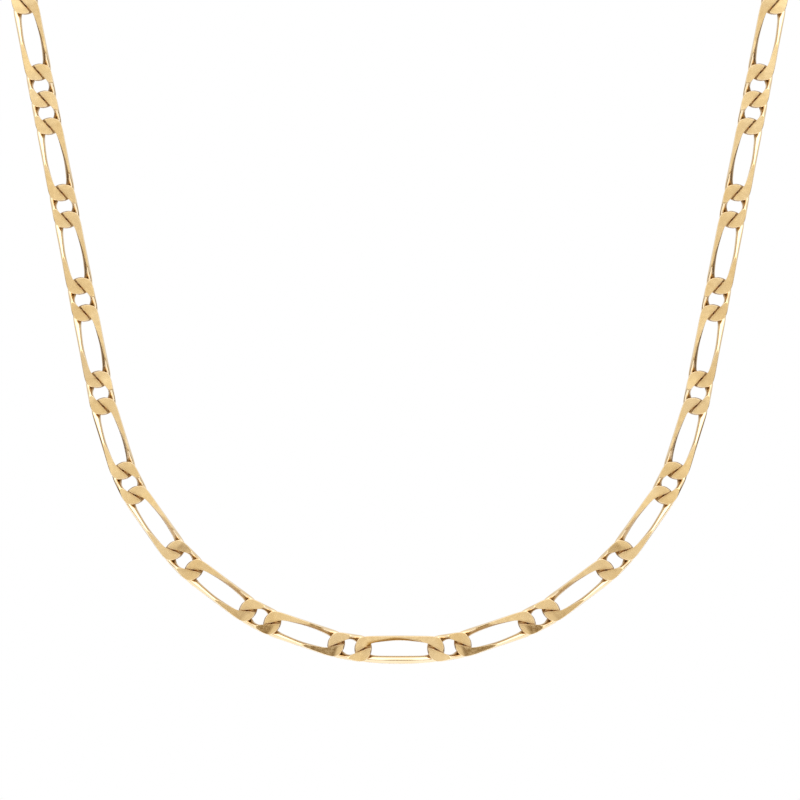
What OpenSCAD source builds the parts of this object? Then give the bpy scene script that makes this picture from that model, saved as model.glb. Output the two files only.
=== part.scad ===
// Figaro chain necklace: planed links in a closed loop, one small link after each long one.
// Frame: X across the neck, Y from front to back, Z up. The origin is the middle of the
// neck opening, level with the clasp at the nape, where the necklace bears on a neck.
// The chain of the +X side is mirrored for the -X side, so the links twist one way on one
// side and the other way on the other. The centre link between them is the same both ways.

/* [Links] */
// Width of the chain over the sides of a link
chain_w = 4; // [3.6:0.1:5]
// Thickness of the chain between its planed front and back
chain_t = 1.5; // [1.3:0.05:1.8]
// Thickness of the wire along the chain, where it goes round a link's end
end_w = 1.25; // [1:0.05:1.4]
// Width of the wire along a link's sides
side_w = 0.82; // [0.6:0.02:1]
// Width of the wire where a side meets the wide planed corner
neck_w = 1.1; // [1:0.05:1.3]
// Slant of a planed corner's inner edge, to the chain's length, in degrees
corner_slant = 30; // [25:1:35]
// Outer radius of a link's corners
corner_r = 1.72; // [1.5:0.02:1.8]
// Length of the opening in a long link
long_hole = 10.35; // [9:0.05:11]
// Length of the opening in a small link
small_hole = 4.3; // [4:0.05:5]
// Length of the opening in the middle link at the front
centre_hole = 11.15; // [10:0.05:12]

/* [Fit] */
// Clearance between two links where one would bear on the next
link_gap = 0.15; // [0.12:0.01:0.2]
// Gap between the planed corners of two links, across their slanting edges
corner_gap = 0.3; // [0.28:0.01:0.36]
// Height of a crossing wire above the middle of the chain, and below it
cross_gap = 0.31; // [0.28:0.01:0.34]

/* [Pattern] */
// Pairs of a small and a long link on each side of the centre link, up to the double
front_pairs = 7; // [6:1:8]
// Pairs of a small and a long link on each side, from the double to the clasp
back_pairs = 8; // [7:1:9]

/* [Loop] */
// Radius of the curve at the front
front_r = 45.5; // [42:0.5:50]
// Lean of the straight sides, outwards going up, in degrees
side_lean = 11; // [8:0.5:13]
// Height of the flat front stretch, above which the chain turns back over the shoulders
front_h = 99; // [94:1:105]
// Radius of the turn back over the shoulders
shoulder_r = 37; // [34:1:42]
// Angle of the turn back over the shoulders, in degrees
shoulder_turn = 84; // [75:1:90]
// Part of the turn round the neck that lies on its sides, in degrees
neck_side_turn = 20; // [16:1:26]

/* [Clasp] */
// Length of the clasp's barrel
barrel_l = 9.8; // [8:0.1:12]
// Diameter of the clasp's barrel
barrel_d = 3.2; // [2.6:0.1:4]
// Diameter of the barrel's flat ends
barrel_end_d = 1.8; // [1.6:0.1:2.4]
// Length of the barrel's tapered ends
barrel_taper = 2; // [1:0.1:3]
// Wire of the clasp's eyes
eye_wire = 0.6; // [0.5:0.05:0.6]
// Inner diameter of the clasp's eyes
eye_d = 2.7; // [2.6:0.05:2.9]

/* [Hidden] */
gold = [0.93, 0.78, 0.52];
round_fn = 48;

// Thickness of a planed corner at its slanting edge
edge_t = 0.16;
face = chain_t / 2;
half_w = chain_w / 2;
// Distance from the middle of the wire at a link's tip to the middle of the joint
joint_u = (end_w + link_gap) / 2;
diag = sqrt(0.5);

// Pitch of a link: the distance between its two joints
function pitch(hole) = hole - link_gap;
centre_pitch = pitch(centre_hole);
clasp_pitch = barrel_l + eye_d + end_w + link_gap;

// Holes of the links on one side, in order from the centre link to the clasp
side_holes = concat(
    [for (i = [1 : front_pairs], hole = [small_hole, long_hole]) hole],
    [small_hole],
    [for (i = [1 : back_pairs + 1], hole = [small_hole, long_hole]) hole],
    [small_hole]);
link_count = len(side_holes);

// Distance along the loop from its lowest point to the foot of each link
function total(values, n, sum = 0, i = 0) = i >= n ? sum : total(values, n, sum + values[i], i + 1);
side_pitches = [for (hole = side_holes) pitch(hole)];
foot = [for (i = [0 : link_count]) centre_pitch / 2 + total(side_pitches, i)];
half_loop = foot[link_count] + clasp_pitch / 2;

// Half of the loop laid flat: front curve, straight side, side of the neck, nape
function rad(degrees) = degrees * PI / 180;
function deg(radians) = radians * 180 / PI;
front_turn = 90 - side_lean;
front_len = front_r * rad(front_turn);
front_end = front_r * [sin(front_turn), 1 - cos(front_turn)];
side_len = (front_h - front_end[1]) / cos(side_lean);
side_end = front_end + side_len * [sin(side_lean), cos(side_lean)];
neck_len = half_loop - front_len - side_len;

// The two radii round the neck follow from the length of chain that is left to close the loop
nape_turn = 90 - neck_side_turn;
side_close = (cos(neck_side_turn) - cos(side_lean)) / cos(neck_side_turn);
neck_side_r = (neck_len - rad(nape_turn) * side_end[0] / cos(neck_side_turn))
    / (rad(side_lean + neck_side_turn) + rad(nape_turn) * side_close);
nape_r = side_end[0] / cos(neck_side_turn) + neck_side_r * side_close;
neck_side_len = neck_side_r * rad(side_lean + neck_side_turn);
neck_side_end = side_end + bend(neck_side_r, side_lean, -neck_side_turn);

// Step along an arc on which the heading, in degrees outwards from straight up, falls from a to b
function bend(r, a, b) = r * [cos(b) - cos(a), sin(a) - sin(b)];

// Point of the flat loop at distance s from its lowest point
function flat_point(s) =
    s < front_len ? front_r * [sin(deg(s / front_r)), 1 - cos(deg(s / front_r))]
    : s < front_len + side_len ? front_end + (s - front_len) * [sin(side_lean), cos(side_lean)]
    : s < front_len + side_len + neck_side_len
        ? side_end + bend(neck_side_r, side_lean, side_lean - deg((s - front_len - side_len) / neck_side_r))
    : neck_side_end + bend(nape_r, -neck_side_turn,
        -neck_side_turn - deg((s - front_len - side_len - neck_side_len) / nape_r));

// The flat loop rolled back over the shoulders
function roll_angle(h) = min(shoulder_turn, max(0, deg((h - front_h) / shoulder_r)));
function past_roll(h) = max(0, h - front_h - shoulder_r * rad(shoulder_turn));
function rolled(p) =
    let (a = roll_angle(p[1]), beyond = past_roll(p[1]))
    [p[0],
        shoulder_r * (1 - cos(a)) + beyond * sin(a),
        min(p[1], front_h) + shoulder_r * sin(a) + beyond * cos(a)];
function face_out(p) = let (a = roll_angle(p[1])) [0, -cos(a), sin(a)];

// The nape, and the origin midway between it and the front
nape = rolled(flat_point(half_loop));
origin = [0, nape[1] / 2, nape[2]];

function unit(v) = v / norm(v);

// A link's place: middle, direction along the chain, direction to the inside, and outwards
function link_place(s, length) =
    let (
        start = rolled(flat_point(s)) - origin,
        end = rolled(flat_point(s + length)) - origin,
        along = unit(end - start),
        inward = unit(cross(face_out(flat_point(s + length / 2)), along)))
    [(start + end) / 2, along, inward, cross(along, inward)];

// Slanting edge of the planed corner, at distance u from the middle of the wire at the tip
function slant_y(u) = tan(corner_slant) * (u - joint_u) + corner_gap / 2 / cos(corner_slant);
function slant_u(y) = joint_u + (y - corner_gap / 2 / cos(corner_slant)) / tan(corner_slant);

// Stations of the wire in a link's quarter whose corner lies in front, from the middle of the
// side to the tip. Each has six points, as distance from the tip, across and height, in the
// order outer edge, outer top, inner top, inner edge, inner bottom, outer bottom.
function quarter(half_l, even) =
    let (
        tip = end_w / 2,
        mid_h = 0.83 * face,
        mid_low = even ? -0.3 * face : -mid_h,
        mid_top = even ? face : mid_h,
        mid_edge = even ? 0.4 * face : 0,
        turn_u = corner_r - tip,
        turn_y = half_w - corner_r,
        out_u = turn_u - diag * corner_r,
        out_y = turn_y + diag * corner_r,
        neck_u = min(slant_u(half_w - neck_w), half_l - 0.4),
        inner_u = joint_u + 0.45,
        edge = face - edge_t)
    [
        [[half_l, half_w, mid_edge], [half_l, half_w - 0.25 * side_w, mid_top],
            [half_l, half_w - 0.75 * side_w, mid_top], [half_l, half_w - side_w, mid_edge],
            [half_l, half_w - 0.75 * side_w, mid_low], [half_l, half_w - 0.25 * side_w, mid_low]],
        [[turn_u + 0.2, half_w, 0.6 * face], [turn_u + 0.25, half_w - 0.14, face],
            [neck_u, slant_y(neck_u), face], [neck_u, slant_y(neck_u), edge],
            [turn_u + 0.4, half_w - 0.85, 0.5 * cross_gap], [turn_u + 0.3, half_w - 0.25, 0.5 * cross_gap]],
        [[out_u, out_y, 0.7 * face], [out_u + 0.1, out_y - 0.1, face],
            [inner_u, slant_y(inner_u), face], [inner_u, slant_y(inner_u), edge],
            [out_u + 0.72, out_y - 0.65, cross_gap], [out_u + 0.17, out_y - 0.17, cross_gap]],
        [[-tip, turn_y, 0.5 * face], [0.12 - tip, turn_y, face],
            [tip - 0.04, slant_y(tip), face], [tip - 0.04, slant_y(tip), edge],
            [tip - 0.15, turn_y + 0.05, 0], [0.22 - tip, turn_y + 0.07, 0]],
        [[-tip, 0, 0], [0.12 - tip, -0.2, face], [tip - 0.08, 0, face],
            [tip, 0, 0], [tip - 0.08, 0, -face], [0.12 - tip, 0.2, -face]]];

// The quarter turned into its place: x and y are the signs of its corner, and z is 1 in front
function turned(station, half_l, x, y, z) =
    [for (k = z > 0 ? [0 : 5] : [0, 5, 4, 3, 2, 1])
        [x * (half_l - station[k][0]), y * station[k][1], z * station[k][2]]];

// All sixteen stations round a link. A side link's corners lie in front by turns, and the
// centre link has both its upper corners in front.
function ring(half_l, even) =
    let (q = quarter(half_l, even), back = even ? -1 : 1)
    concat(
        [for (i = [0 : 4]) turned(q[i], half_l, 1, 1, 1)],
        [for (i = [3 : -1 : 0]) turned(q[i], half_l, 1, -1, -1)],
        [for (i = [1 : 4]) turned(q[i], half_l, -1, -1, back)],
        [for (i = [3 : -1 : 1]) turned(q[i], half_l, -1, 1, -back)]);

// One link: six-sided wire swept round the stations, at its place on the loop
module link(place, hole, even = false) {
    stations = ring((hole + end_w) / 2, even);
    n = len(stations);
    points = [for (station = stations, p = station)
        place[0] + p[0] * place[1] + p[1] * place[2] + p[2] * place[3]];
    faces = [for (i = [0 : n - 1], k = [0 : 5])
        let (
            j = (i + 1) % n,
            m = (k + 1) % 6,
            a = 6 * i + k,
            b = 6 * i + m,
            c = 6 * j + m,
            d = 6 * j + k)
        each [[a, c, b], [a, d, c]]];
    polyhedron(points, faces, convexity = 6);
}

// All links of one side, from the centre link to the clasp
module side_links() {
    for (i = [0 : link_count - 1])
        link(link_place(foot[i], side_pitches[i]), side_holes[i]);
}

module right_chain() {
    color(gold) side_links();
}

module left_chain() {
    color(gold) mirror([1, 0, 0]) side_links();
}

// The even link at the lowest point of the front: its upper side lies in front at both ends
module centre_link() {
    level = rolled(flat_point(centre_pitch / 2))[2];
    place = [[0, 0, level] - origin, [1, 0, 0], [0, 0, 1], [0, -1, 0]];
    color(gold) link(place, centre_hole, even = true);
}

// A plain barrel with an eye at each end, round the tip of the last link of each side
module clasp() {
    lift = rolled(flat_point(half_loop - clasp_pitch / 2)) - nape;
    color(gold)
        translate([0, lift[1], lift[2]] + nape - origin)
            rotate([90 - shoulder_turn, 0, 0]) {
                rotate([0, 90, 0]) barrel();
                for (side = [-1, 1])
                    translate([side * (barrel_l + eye_d) / 2, 0, 0]) rotate([90, 0, 0]) eye();
            }
}

module barrel() {
    rotate_extrude($fn = round_fn)
        polygon([
            [0, -barrel_l / 2],
            [barrel_end_d / 2, -barrel_l / 2],
            [barrel_d / 2, barrel_taper - barrel_l / 2],
            [barrel_d / 2, barrel_l / 2 - barrel_taper],
            [barrel_end_d / 2, barrel_l / 2],
            [0, barrel_l / 2]]);
}

module eye() {
    rotate_extrude($fn = round_fn)
        translate([(eye_d + eye_wire) / 2, 0]) circle(d = eye_wire, $fn = round_fn);
}

right_chain();
left_chain();
centre_link();
clasp();
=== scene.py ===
# Figaro chain necklace, hung as it is worn: planed gold links in front, the clasp at the nape.
from math import atan2, copysign, cos, degrees, pi, radians, sin, tan

import bmesh
import bpy
import numpy as np
from mathutils import Matrix, Vector


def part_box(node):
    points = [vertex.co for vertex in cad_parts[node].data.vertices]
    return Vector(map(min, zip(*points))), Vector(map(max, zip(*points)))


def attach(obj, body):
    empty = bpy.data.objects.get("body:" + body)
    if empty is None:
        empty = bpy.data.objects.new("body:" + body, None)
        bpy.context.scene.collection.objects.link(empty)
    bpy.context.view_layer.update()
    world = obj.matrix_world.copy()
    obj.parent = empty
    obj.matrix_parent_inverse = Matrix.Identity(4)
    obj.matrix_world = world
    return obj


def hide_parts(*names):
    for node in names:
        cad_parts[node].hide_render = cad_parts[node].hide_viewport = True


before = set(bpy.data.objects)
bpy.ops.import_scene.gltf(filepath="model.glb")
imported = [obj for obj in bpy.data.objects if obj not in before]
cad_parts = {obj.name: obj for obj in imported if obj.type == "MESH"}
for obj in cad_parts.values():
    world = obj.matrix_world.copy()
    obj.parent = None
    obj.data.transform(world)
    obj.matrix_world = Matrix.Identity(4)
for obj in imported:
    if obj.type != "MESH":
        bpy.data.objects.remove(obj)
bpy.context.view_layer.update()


# Camera. A long lens, square to the plane in which the front of the chain hangs. The photo's
# frame is 120.75 mm wide in that plane, and the centre link hangs 37.6 mm below its middle.
front_low, front_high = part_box("centre_link")
hanging_plane = (front_low[1] + front_high[1]) / 2
centre_height = (front_low[2] + front_high[2]) / 2
photo_width = 0.12075
photo_middle = 0.000075
centre_below_middle = 0.0376
camera_distance = 1.2
film_width = 36

camera_data = bpy.data.cameras.new("camera")
camera_data.sensor_width = film_width
camera_data.lens = film_width * camera_distance / photo_width
camera_data.clip_end = 20
camera = bpy.data.objects.new("camera", camera_data)
camera.location = (photo_middle, hanging_plane - camera_distance, centre_height + centre_below_middle)
camera.rotation_euler = (pi / 2, 0, 0)
bpy.context.scene.collection.objects.link(camera)
bpy.context.scene.camera = camera


# Links of the two sides. Each is a ring of gold-plated brass wire, put through the next one,
# soldered shut and twisted, so that its corners come to the front and back there, then planed
# flat at front and back and polished. Lengths are in millimetres until a link is in its place.
millimetre = 0.001
chain_thickness = 1.5
face = chain_thickness / 2
wire_thickness = 1.25
tip = wire_thickness / 2
clearance = 0.15
joint_middle = tip + clearance / 2
slant_angle = radians(30)
slant_gap = 0.14
flat_tip = -0.38
flat_lip = 0.2
long_hole = 10.35
small_hole = 4.3
long_half = long_hole / 2 + tip
small_half = small_hole / 2 + tip
longest_small = 9


def slant(u):
    """Across of a wide corner's slanting edge, at distance u from the middle of the link's tip."""
    return tan(slant_angle) * (u - joint_middle) + slant_gap / cos(slant_angle)


def on_slant(u, height=face):
    """A point of the slanting edge, as distance from the tip, across and height."""
    return (u, slant(u), height)


def quarter_of_link(half_length, strip=1.52, edge=0, deep=-face):
    """Sections of the wire from the middle of a side to the tip, where the corner lies in front.

    Each has six points as distance from the tip, across and height: outer edge, outer top,
    inner top, inner edge, inner bottom, outer bottom. At the middle of the side, strip is the
    across of the inner top, and edge and deep are the heights of the edges and the bottom."""
    side = [(half_length, 2.07, edge), (half_length, 1.88, face), (half_length, strip, face),
            (half_length, 1.12, edge), (half_length, 1.50, deep), (half_length, 1.80, deep)]
    neck = min(2.05, half_length - 0.4)
    under = face - flat_lip
    shoulder = [(1.35, 2.07, 0.45), (1.40, 1.94, face), on_slant(neck),
                on_slant(neck, under), (1.5, 1.15, 0.155), (1.4, 1.75, 0.155)]
    bend = [(0.60, 1.94, 0.45), (0.62, 1.86, face), on_slant(1.60),
            on_slant(1.60, under), (1.05, 0.98, 0.2), (0.7, 1.60, 0.2)]
    corner = [(-0.12, 1.68, 0.5), (-0.02, 1.62, face), on_slant(1.10),
              on_slant(1.10, under), (0.6, 0.80, 0.28), (0.05, 1.35, 0.28)]
    end = [(-0.70, 0.50, 0.4), (-0.50, 0.50, face), on_slant(0.60),
           on_slant(0.60, under), (0.50, 0.35, 0), (-0.42, 0.36, 0)]
    nose = [(-0.70, 0, 0), on_slant(flat_tip), on_slant(0.20),
            (1.36, 0, 0), (0.20, -slant(0.20), -face), (flat_tip, -slant(flat_tip), -face)]
    sections = [side, shoulder, bend, corner, end, nose]
    if 2 * half_length > longest_small:
        arm = [tuple((a + b) / 2 for a, b in zip(mid, near)) for mid, near in zip(side, shoulder)]
        sections.insert(1, arm)
    return sections


def ring_of_link(half_length, quarter, even=False):
    """Sections of the whole link. Each side has one corner in front and one at the back, but in
    an even link both corners of the upper side lie in front and both of the lower at the back."""
    def turned(section, x, y, z):
        order = section if z > 0 else [section[k] for k in (0, 5, 4, 3, 2, 1)]
        return [Vector((x * (half_length - u), y * v, z * w)) for u, v, w in order]

    far = -1 if even else 1
    sections = [turned(section, 1, 1, 1) for section in quarter]
    sections += [turned(section, 1, -1, -1) for section in quarter[-2::-1]]
    sections += [turned(section, -1, -1, far) for section in quarter[1:]]
    sections += [turned(section, -1, 1, -far) for section in quarter[-2:0:-1]]
    return sections


def extrude_link(name, sections):
    """A link lying flat: a six-sided wire extruded from section to section and closed."""
    bpy.ops.object.select_all(action="DESELECT")
    bpy.ops.mesh.primitive_circle_add(vertices=6, radius=0.4)
    link = bpy.context.object
    link.name = name
    bpy.ops.object.mode_set(mode="EDIT")
    for section in sections[1:]:
        bpy.ops.mesh.extrude_edges_move()
    wire = bmesh.from_edit_mesh(link.data)
    wire.verts.ensure_lookup_table()
    around = wire.verts.layers.float_vector.new("around")
    places = [place for section in sections for place in section]
    for k, (place, vertex) in enumerate(zip(places, wire.verts)):
        vertex.co = place
        vertex[around] = (cos(k * pi / 3), sin(k * pi / 3), 0)
    bpy.ops.mesh.select_all(action="DESELECT")
    bpy.ops.mesh.select_non_manifold()
    bpy.ops.mesh.bridge_edge_loops()
    bpy.ops.mesh.select_all(action="SELECT")
    bpy.ops.mesh.normals_make_consistent(inside=False)
    bpy.ops.object.mode_set(mode="OBJECT")
    return link


def gold_finish(name, tint, shadow, polish, planed=False):
    """Gold with clouding in its colour, uneven polish and fine marks, painted shade in dark brown in the
    recesses, and duller there.

    Polish is the least and the most roughness. Planed gold has the fine lines that the tool
    leaves along a link, and each of its flats leans a little out of true."""
    painted_shade_brown = (0.33, 0.155, 0.01)
    shade_dullness = 0.3
    mark_height = 0.0012
    tool_lines = (0.6, 22, 1)
    waviness = 0.03

    metal = bpy.data.materials.new(name)
    metal.use_nodes = True
    nodes, links = metal.node_tree.nodes, metal.node_tree.links
    gloss = nodes["Principled BSDF"]
    gloss.inputs["Metallic"].default_value = 1
    place = nodes.new("ShaderNodeTexCoord").outputs["Object"]

    def noise(vector, scale, detail):
        cloud = nodes.new("ShaderNodeTexNoise")
        cloud.inputs["Scale"].default_value = scale
        cloud.inputs["Detail"].default_value = detail
        links.new(vector, cloud.inputs["Vector"])
        return cloud.outputs["Fac"]

    def scaled(value, factor, added=None):
        product = nodes.new("ShaderNodeMath")
        product.operation = "MULTIPLY" if added is None else "MULTIPLY_ADD"
        product.inputs[1].default_value = factor
        links.new(value, product.inputs[0])
        if added is not None:
            links.new(added, product.inputs[2])
        return product.outputs["Value"]

    def attribute(name, output):
        reader = nodes.new("ShaderNodeAttribute")
        reader.attribute_name = name
        return reader.outputs[output]

    clouding = nodes.new("ShaderNodeValToRGB")
    dark, light = clouding.color_ramp.elements
    dark.position, dark.color = 0.35, (*shadow, 1)
    light.position, light.color = 0.65, (*tint, 1)
    links.new(noise(place, scale=260, detail=4), clouding.inputs["Fac"])
    # Painted shade: dark brown mixed into the colour in the joints, beside the slanting lines and along the
    # wire's sides, where the gold is also duller.
    shade_mask = attribute("shade_mask", "Fac")
    painted_shade = nodes.new("ShaderNodeMixRGB")
    painted_shade.inputs["Color2"].default_value = (*painted_shade_brown, 1)
    links.new(shade_mask, painted_shade.inputs["Fac"])
    links.new(clouding.outputs["Color"], painted_shade.inputs["Color1"])
    links.new(painted_shade.outputs["Color"], gloss.inputs["Base Color"])

    rough = nodes.new("ShaderNodeMapRange")
    rough.inputs["From Min"].default_value = 0.3
    rough.inputs["From Max"].default_value = 0.7
    rough.inputs["To Min"].default_value = polish[0]
    rough.inputs["To Max"].default_value = polish[1]
    links.new(noise(place, scale=1800, detail=3), rough.inputs["Value"])
    links.new(scaled(shade_mask, shade_dullness, added=rough.outputs["Result"]), gloss.inputs["Roughness"])

    bump = nodes.new("ShaderNodeBump")
    bump.inputs["Strength"].default_value = 1
    bump.inputs["Distance"].default_value = millimetre
    if planed:
        flat = nodes.new("ShaderNodeUVMap")
        flat.uv_map = "planing"
        stretch = nodes.new("ShaderNodeMapping")
        stretch.inputs["Scale"].default_value = tool_lines
        links.new(flat.outputs["UV"], stretch.inputs["Vector"])
        marks = scaled(noise(stretch.outputs["Vector"], scale=1, detail=2), mark_height)
        wave = scaled(noise(flat.outputs["UV"], scale=0.5, detail=1), waviness, added=marks)
        links.new(wave, bump.inputs["Height"])
        leaning = nodes.new("ShaderNodeVectorMath")
        leaning.operation = "ADD"
        links.new(nodes.new("ShaderNodeNewGeometry").outputs["Normal"], leaning.inputs[0])
        links.new(attribute("lean", "Vector"), leaning.inputs[1])
        length_one = nodes.new("ShaderNodeVectorMath")
        length_one.operation = "NORMALIZE"
        links.new(leaning.outputs["Vector"], length_one.inputs[0])
        links.new(length_one.outputs["Vector"], bump.inputs["Normal"])
    else:
        links.new(scaled(noise(place, scale=3500, detail=2), mark_height), bump.inputs["Height"])
    links.new(bump.outputs["Normal"], gloss.inputs["Normal"])
    return metal


# The wire gold is paler than the planed gold of the same links: a painted highlight, for the pale look of
# the round wire's bright reflections. The rubbed gold of the broken edges is paler for wear and for the
# same painted highlight.
wire_tint, wire_shadow = (1.0, 0.835, 0.575), (0.98, 0.785, 0.5)
planed_tint, planed_shadow = (1.0, 0.785, 0.44), (0.98, 0.735, 0.365)
rubbed_tint, rubbed_shadow = (1.0, 0.83, 0.56), (0.98, 0.79, 0.49)
golds = [gold_finish("wire_gold", wire_tint, wire_shadow, polish=(0.05, 0.14)),
         gold_finish("planed_gold", planed_tint, planed_shadow, polish=(0.10, 0.20), planed=True),
         gold_finish("rubbed_gold", rubbed_tint, rubbed_shadow, polish=(0.12, 0.25))]


def round_and_plane(link):
    """Round the wire and the outline, keep the planed flats flat, and break their edges. The
    flats get the second of the golds and the broken edges the third."""
    near = 0.001
    flat_play = 0.004
    tip_crease = 0.7
    flat_beside = {edge.key: 0 for edge in link.data.edges}
    for part in link.data.polygons:
        heights = [abs(link.data.vertices[k].co.z) for k in part.vertices]
        flat = all(abs(height - face) < near for height in heights)
        for key in part.edge_keys:
            flat_beside[key] += flat
    edge_creases = link.data.attributes.new("crease_edge", "FLOAT", "EDGE")
    for edge, crease in zip(link.data.edges, edge_creases.data):
        crease.value = int(flat_beside[edge.key] == 1)
    tip_creases = link.data.attributes.new("crease_vert", "FLOAT", "POINT")
    tip_across = abs(slant(flat_tip))
    for vertex, crease in zip(link.data.vertices, tip_creases.data):
        on_face = abs(abs(vertex.co.z) - face) < near
        crease.value = tip_crease * (on_face and abs(abs(vertex.co.y) - tip_across) < near)
    rounded = link.modifiers.new("rounded wire", "SUBSURF")
    rounded.levels = rounded.render_levels = 2
    bpy.ops.object.modifier_apply(modifier=rounded.name)

    for part in link.data.polygons:
        part.use_smooth = True
        level = abs(part.normal.z) > 0.999
        part.material_index = int(level and abs(abs(part.center.z) - face) < flat_play)
    broken = link.modifiers.new("broken edge", "BEVEL")
    broken.width = 0.03
    broken.segments = 1
    broken.limit_method = "ANGLE"
    broken.angle_limit = radians(25)
    broken.material = 2
    bpy.ops.object.modifier_apply(modifier=broken.name)
    bpy.ops.object.shade_smooth_by_angle(angle=radians(30))

    link.data.uv_layers.new(name="planing")
    for loop, place in zip(link.data.loops, link.data.uv_layers["planing"].data):
        place.uv = link.data.vertices[loop.vertex_index].co.xy


def fades(distance, end, over):
    """One up to a distance of end less over, then falling evenly, and nothing from end on."""
    return min(max((end - distance) / over, 0), 1)


def paint_shade(link, half_length, even=False):
    """Mark where shade is painted in dark brown, and where the gold is duller.

    The mask of painted shade is for the joints and for the flats beside the slanting line, and
    line is a line of painted shade along the sides, mostly under the flats' inner edges. The
    attribute around gives the turn round the wire, in degrees here: 0 at its outer edge, 90 on the flat,
    180 at its inner edge.
    A side's far arm is the one away from the corner that lies on the vertex's face."""
    # Strengths of the painted shade in the joints and beside the slanting line.
    joint_shade = 0.75
    slant_shade = 0.5
    flat_depth = 0.01
    for name in ("shade_mask", "line"):
        link.data.attributes.new(name, "FLOAT", "POINT")
    around, shade_masks, lines = (link.data.attributes[name].data for name in ("around", "shade_mask", "line"))
    joint = max(vertex.co.x for vertex in link.data.vertices) - tip - joint_middle
    side_end = joint - 0.5
    for vertex, way, shade_mask, line in zip(link.data.vertices, around, shade_masks, lines):
        x, y, z = vertex.co
        depth = face - abs(z)
        from_tip = half_length - abs(x)
        past_slant = y * copysign(1, z) * (1 if even else copysign(1, x)) - slant(from_tip)
        on_corner = depth < flat_depth and past_slant > -0.05
        if on_corner:
            beside_slant = fades(past_slant, end=0.44, over=0.4)
            shade_mask.value = slant_shade * beside_slant * fades(abs(from_tip - joint_middle), end=1.4, over=1)
        else:
            in_joint = fades(abs(y), end=1.45, over=0.4) * fades(abs(abs(x) - joint), end=1.9, over=0.5)
            shade_mask.value = joint_shade * in_joint * (1 - fades(depth, end=0.12, over=0.12))

        if abs(x) >= side_end:
            continue
        turn = degrees(abs(atan2(way.vector[1], way.vector[0])))
        far_arm = fades(x * copysign(1, y * z), end=0.5, over=1)
        inner_line = fades(abs(turn - 140), end=39.2, over=28)
        outer_line = fades(turn, end=25, over=25) * far_arm
        if depth < flat_depth:
            line.value = fades(abs(turn - 122), end=27, over=18) * far_arm * (y > 0)
        elif y > 0:
            line.value = inner_line
        else:
            line.value = 0.5 * max(inner_line, outer_line)
    link.data.attributes.remove(link.data.attributes["around"])


def finish_link(link, half_length, even=False):
    """Give a link that was just extruded its golds, its round form, its flats and its painted shade."""
    for metal in golds:
        link.data.materials.append(metal)
    round_and_plane(link)
    paint_shade(link, half_length, even)


small_link = extrude_link("small_link", ring_of_link(small_half, quarter_of_link(small_half)))
finish_link(small_link, small_half)
long_sections = ring_of_link(long_half, quarter_of_link(long_half))
# A long link's front flat runs on along its inner bar, nearly to the far joint.
long_sections[-1][1:3] = [Vector((3.0 - long_half, 1.84, face)), Vector((3.1 - long_half, 1.54, face))]
long_link = extrude_link("long_link", long_sections)
finish_link(long_link, long_half)


def places_of_links(node):
    """Middle, long, wide and thin direction and length of each of a node's solids. Long points
    up the chain, towards the nape, and thin points forwards and up."""
    bpy.ops.object.select_all(action="DESELECT")
    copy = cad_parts[node].copy()
    copy.data = copy.data.copy()
    bpy.context.scene.collection.objects.link(copy)
    copy.parent = None
    bpy.context.view_layer.objects.active = copy
    copy.select_set(True)
    bpy.ops.object.mode_set(mode="EDIT")
    bpy.ops.mesh.select_all(action="SELECT")
    bpy.ops.mesh.remove_doubles(threshold=0.000001)
    bpy.ops.mesh.separate(type="LOOSE")
    bpy.ops.object.mode_set(mode="OBJECT")
    places = []
    for part in list(bpy.context.selected_objects):
        points = np.array([vertex.co for vertex in part.data.vertices], dtype=float)
        middle = points.mean(axis=0)
        # A link's points are spread least over its thickness and most over its length.
        thin, wide, long = np.linalg.eigh(np.cov((points - middle).T))[1].T
        long = long * np.sign(long @ (0, 1, 1))
        wide = wide * np.sign(np.cross(long, wide) @ (0, -1, 1))
        thin = np.cross(long, wide)
        length = np.ptp((points - middle) @ long)
        places.append((middle, long, wide, thin, length))
    bpy.ops.object.delete()
    return places


def shade_sides(link, share):
    """Take a share of the line of painted shade along a link's sides into its mask of painted shade and
    dullness.
    """
    for shade_mask, line in zip(link.data.attributes["shade_mask"].data, link.data.attributes["line"].data):
        shade_mask.value = max(shade_mask.value, share * line.value)
    link.data.attributes.remove(link.data.attributes["line"])


def leans_at(middle):
    """Lean of a link's upper and of its lower flats, along and across it, by the link's place.

    Most lean a little up and inwards, and those of the lower curve down and outwards, with small
    differences as if by chance. The lower flats of the first long link of each side and of the
    small link after it are so far out of true that they look dark from in front."""
    x, z = abs(middle[0]), middle[2]
    on_lower_curve = z < -0.1 and x > 0.025
    near_centre_link = z < -0.12 and 0.012 < x < 0.025
    chance = 2100 * x + 3300 * z
    along, across = 0.025, 0.012
    tilt = -0.025 if on_lower_curve else 0.02
    upper = (along * sin(chance), tilt + across * sin(2.3 * chance))
    lower = (along * sin(1.7 * chance), tilt + across * sin(3.1 * chance))
    if near_centre_link:
        lower = (0, -0.12)
    return upper, lower


def lean_flats(link, turn, upper, lower):
    """Set how far out of true a link's planed flats lie, less at its very tips. The flat of its
    upper corner and that of its lower corner each run on past the link's middle."""
    past_middle = 0.3
    link_end = max(vertex.co.x for vertex in link.data.vertices)
    leans = link.data.attributes.new("lean", "FLOAT_VECTOR", "POINT")
    for vertex, lean in zip(link.data.vertices, leans.data):
        x, y, z = vertex.co
        on_upper = copysign(x, x * z) > copysign(past_middle, -y)
        share = fades(abs(x), end=link_end - 0.7, over=0.8)
        lean.vector = turn @ (Vector((*(upper if on_upper else lower), 0)) * share)


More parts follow.
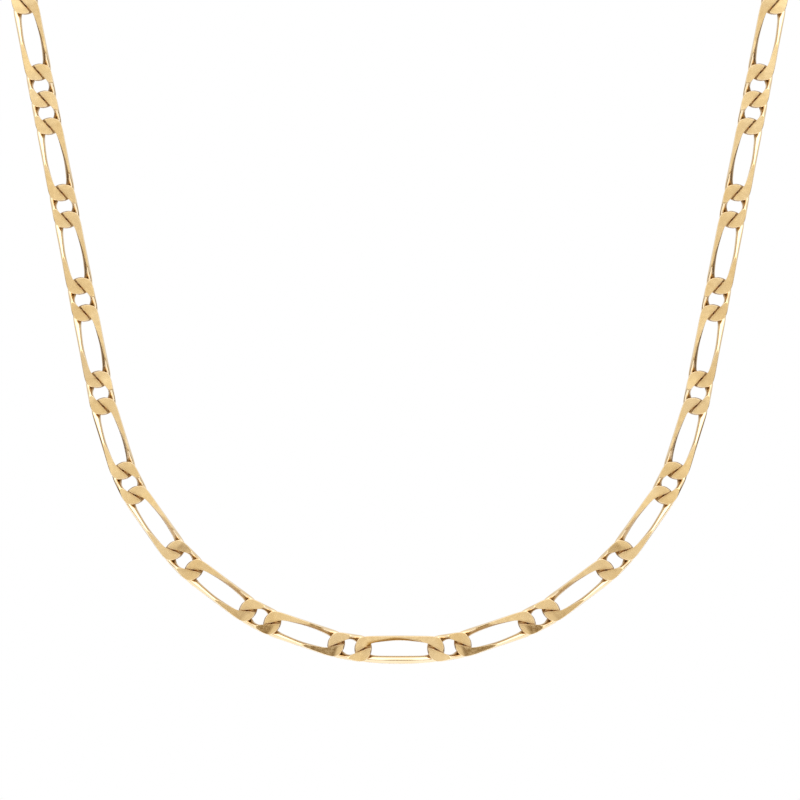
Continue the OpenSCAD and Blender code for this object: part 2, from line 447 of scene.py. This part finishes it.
def set_links(name, node, mirrored):
    """Copy a link to the place of each solid of a node and join the copies into one piece. The
    links of the left side are twisted the other way."""
    side = Matrix.Diagonal((1, -1 if mirrored else 1, 1))
    copies = []
    for middle, long, wide, thin, length in places_of_links(node):
        link = (long_link if length > longest_small * millimetre else small_link).copy()
        link.data = link.data.copy()
        bpy.context.scene.collection.objects.link(link)
        turn = Matrix((long, wide, thin)).transposed()
        # The painted shade along the sides is weakest where the chain hangs straight down.
        shade_sides(link, 0.3 + 0.7 * abs(long[0]))
        lean_flats(link, turn @ side, *leans_at(middle))
        if mirrored:
            link.data.transform(side.to_4x4())
            link.data.flip_normals()
        place = turn.to_4x4()
        place.translation = middle
        link.data.transform(place @ Matrix.Scale(millimetre, 4))
        copies.append(link)
    bpy.ops.object.select_all(action="DESELECT")
    for link in copies:
        link.select_set(True)
    bpy.context.view_layer.objects.active = copies[0]
    bpy.ops.object.join()
    chain = bpy.context.object
    chain.name = name
    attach(chain, "root")
    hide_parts(node)


set_links("right_links", "right_chain", mirrored=False)
set_links("left_links", "left_chain", mirrored=True)
for pattern in (long_link, small_link):
    bpy.data.objects.remove(pattern)


# Centre link, at the lowest point of the front. It is of the same plated wire as the others, a
# little longer and even left to right: its upper side is planed flat from one front corner to
# the other, its lower side is left round and bowed. The first small link of each side holds it.
centre_hole = 11.15
centre_half = centre_hole / 2 + tip
centre_quarter = quarter_of_link(centre_half, strip=1.78, edge=0.3 * face, deep=-0.3 * face)
centre_sections = ring_of_link(centre_half, centre_quarter, even=True)
upper_bow = ((-1, 0.05), (0, 0.08), (1, 0.05))
for k, rise in upper_bow:
    centre_sections[k] = [place + Vector((0, rise, 0)) for place in centre_sections[k]]
lower_middle = len(centre_sections) // 2
lower_bar = ((-2.32, -0.22), (-2.00, 0.30), (-1.26, 0.30), (-0.90, -0.22), (-1.26, -0.72), (-2.00, -0.72))
for k, along in ((-1, 2.1), (0, 0), (1, -2.1)):
    centre_sections[lower_middle + k] = [Vector((along, across, height)) for across, height in lower_bar]

centre_link = extrude_link("centre_link_ring", centre_sections)
finish_link(centre_link, centre_half, even=True)
# The centre link takes all of the painted shade along its sides.
shade_sides(centre_link, 1)
upright = Matrix(((1, 0, 0), (0, 0, -1), (0, 1, 0)))
lean_flats(centre_link, upright, upper=(0, 0.03), lower=(0, 0.03))
centre_place = upright.to_4x4() @ Matrix.Scale(millimetre, 4)
centre_place.translation = (0, hanging_plane, centre_height)
centre_link.data.transform(centre_place)
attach(centre_link, "root")
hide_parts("centre_link")


# Clasp. A turned barrel of the same plated brass, with a fine groove and a taper at both ends
# and a ring soldered on each, through which the last links of the two sides pass.
barrel_length = 0.0098
barrel_radius = 0.0016
barrel_end_radius = 0.0009
taper = 0.002
groove_share = 0.95
groove_depth = 0.00008
ring_radius = 0.00165
ring_wire = 0.0003
clasp_tilt = radians(6)
clasp_low, clasp_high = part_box("clasp")
clasp_middle = [(low + high) / 2 for low, high in zip(clasp_low, clasp_high)]

bpy.ops.object.select_all(action="DESELECT")
bpy.ops.mesh.primitive_cylinder_add(vertices=64, radius=barrel_radius, depth=barrel_length - 2 * taper)
clasp = bpy.context.object
clasp.name = "clasp_barrel"
turning = ((0, groove_share), (-groove_depth, 1), (groove_depth, 1),
           (taper, barrel_end_radius / barrel_radius / groove_share))
for end in (-1, 1):
    bpy.ops.object.mode_set(mode="EDIT")
    bpy.ops.mesh.select_mode(type="FACE")
    bpy.ops.mesh.select_all(action="DESELECT")
    bpy.ops.object.mode_set(mode="OBJECT")
    for part in clasp.data.polygons:
        part.select = part.normal.z * end > 0.9
    bpy.ops.object.mode_set(mode="EDIT")
    for step, size in turning:
        bpy.ops.mesh.extrude_region_move(TRANSFORM_OT_translate={"value": (0, 0, end * step)})
        bpy.ops.transform.resize(value=(size, size, 1))
    bpy.ops.object.mode_set(mode="OBJECT")
rounded = clasp.modifiers.new("rounded", "BEVEL")
rounded.width = 0.00006
rounded.segments = 3
rounded.limit_method = "ANGLE"
rounded.angle_limit = radians(15)
bpy.ops.object.modifier_apply(modifier=rounded.name)
clasp.data.transform(Matrix.Rotation(pi / 2, 4, "Y"))
rings = []
for end in (-1, 1):
    ring_middle = (end * (barrel_length / 2 + ring_radius - ring_wire), 0, 0)
    bpy.ops.mesh.primitive_torus_add(major_segments=64, minor_segments=16, major_radius=ring_radius,
                                     minor_radius=ring_wire, rotation=(pi / 2, 0, 0), location=ring_middle)
    bpy.ops.object.transform_apply(location=True, rotation=True)
    rings.append(bpy.context.object)
for piece in (clasp, *rings):
    piece.select_set(True)
bpy.context.view_layer.objects.active = clasp
bpy.ops.object.join()
clasp.data.transform(Matrix.Translation(clasp_middle) @ Matrix.Rotation(clasp_tilt, 4, "X"))
bpy.ops.object.shade_smooth_by_angle(angle=radians(40))
clasp.data.materials.append(gold_finish("clasp_gold", wire_tint, wire_shadow, polish=(0.06, 0.16)))
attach(clasp, "root")
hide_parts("clasp")


# Floor. A plain pale board, matt, that lies well below the necklace. It belongs to the studio,
# not to the necklace.
floor_height = -0.45
bpy.ops.object.select_all(action="DESELECT")
bpy.ops.mesh.primitive_plane_add(size=2, location=(0, 0, floor_height))
floor = bpy.context.object
floor.name = "floor"
pale = bpy.data.materials.new("pale_floor")
pale.use_nodes = True
matt = pale.node_tree.nodes["Principled BSDF"]
matt.inputs["Base Color"].default_value = (0.94, 0.96, 1.0, 1)
matt.inputs["Roughness"].default_value = 0.7
floor.data.materials.append(pale)


# Studio light. A white tent with soft lamps outside it, brightest round its front opening and
# above, dimmer in that opening and at the back, and dim and warm below. The background is white.
studio = bpy.data.worlds.new("studio")
studio.use_nodes = True
bpy.context.scene.world = studio
nodes, links = studio.node_tree.nodes, studio.node_tree.links
direction = nodes.new("ShaderNodeTexCoord")
parts = nodes.new("ShaderNodeSeparateXYZ")
links.new(direction.outputs["Generated"], parts.inputs["Vector"])


def brightness(part, kind, stops):
    """A ramp over the angle from one axis of the tent, with (degrees, brightness, warmth) stops."""
    angle = nodes.new("ShaderNodeMath")
    angle.operation = kind
    links.new(part, angle.inputs[0])
    share = nodes.new("ShaderNodeMapRange")
    share.inputs["From Min"].default_value = 0 if kind == "ARCCOSINE" else -pi / 2
    share.inputs["From Max"].default_value = pi if kind == "ARCCOSINE" else pi / 2
    links.new(angle.outputs["Value"], share.inputs["Value"])
    ramp = nodes.new("ShaderNodeValToRGB")
    ramp.color_ramp.interpolation = "EASE"
    while len(ramp.color_ramp.elements) < len(stops):
        ramp.color_ramp.elements.new(0.5)
    for stop, (place, value, warmth) in zip(ramp.color_ramp.elements, stops):
        stop.position = place / 180 if kind == "ARCCOSINE" else place / 180 + 0.5
        stop.color = (value, value * (1 - 0.5 * warmth), value * (1 - warmth), 1)
    links.new(share.outputs["Result"], ramp.inputs["Fac"])
    return ramp.outputs["Color"]


to_front = nodes.new("ShaderNodeMath")
to_front.operation = "MULTIPLY"
to_front.inputs[1].default_value = -1
links.new(parts.outputs["Y"], to_front.inputs[0])
round_front = brightness(to_front.outputs["Value"], "ARCCOSINE",
                         [(0, 0.7, 0.22), (4, 0.81, 0.13), (9, 0.98, 0.03), (16, 1.7, 0),
                          (45, 1.8, 0), (65, 1.1, 0.05), (100, 0.7, 0.1), (180, 0.8, 0.1)])
up_and_down = brightness(parts.outputs["Z"], "ARCSINE",
                         [(-90, 0.15, 0.6), (-11, 0.15, 0.6), (-7, 0.5, 0.3),
                          (-3, 1, 0), (20, 1.05, 0), (90, 1.4, 0)])
tent = nodes.new("ShaderNodeMixRGB")
tent.blend_type = "MULTIPLY"
tent.inputs["Fac"].default_value = 1
links.new(round_front, tent.inputs["Color1"])
links.new(up_and_down, tent.inputs["Color2"])
lamps = nodes["Background"]
links.new(tent.outputs["Color"], lamps.inputs["Color"])
backdrop = nodes.new("ShaderNodeBackground")
backdrop.inputs["Color"].default_value = (1, 1, 1, 1)
seen = nodes.new("ShaderNodeLightPath")
studio_mix = nodes.new("ShaderNodeMixShader")
links.new(seen.outputs["Is Camera Ray"], studio_mix.inputs["Fac"])
links.new(lamps.outputs["Background"], studio_mix.inputs[1])
links.new(backdrop.outputs["Background"], studio_mix.inputs[2])
links.new(studio_mix.outputs["Shader"], nodes["World Output"].inputs["Surface"])
bpy.context.scene.view_settings.view_transform = "Standard"
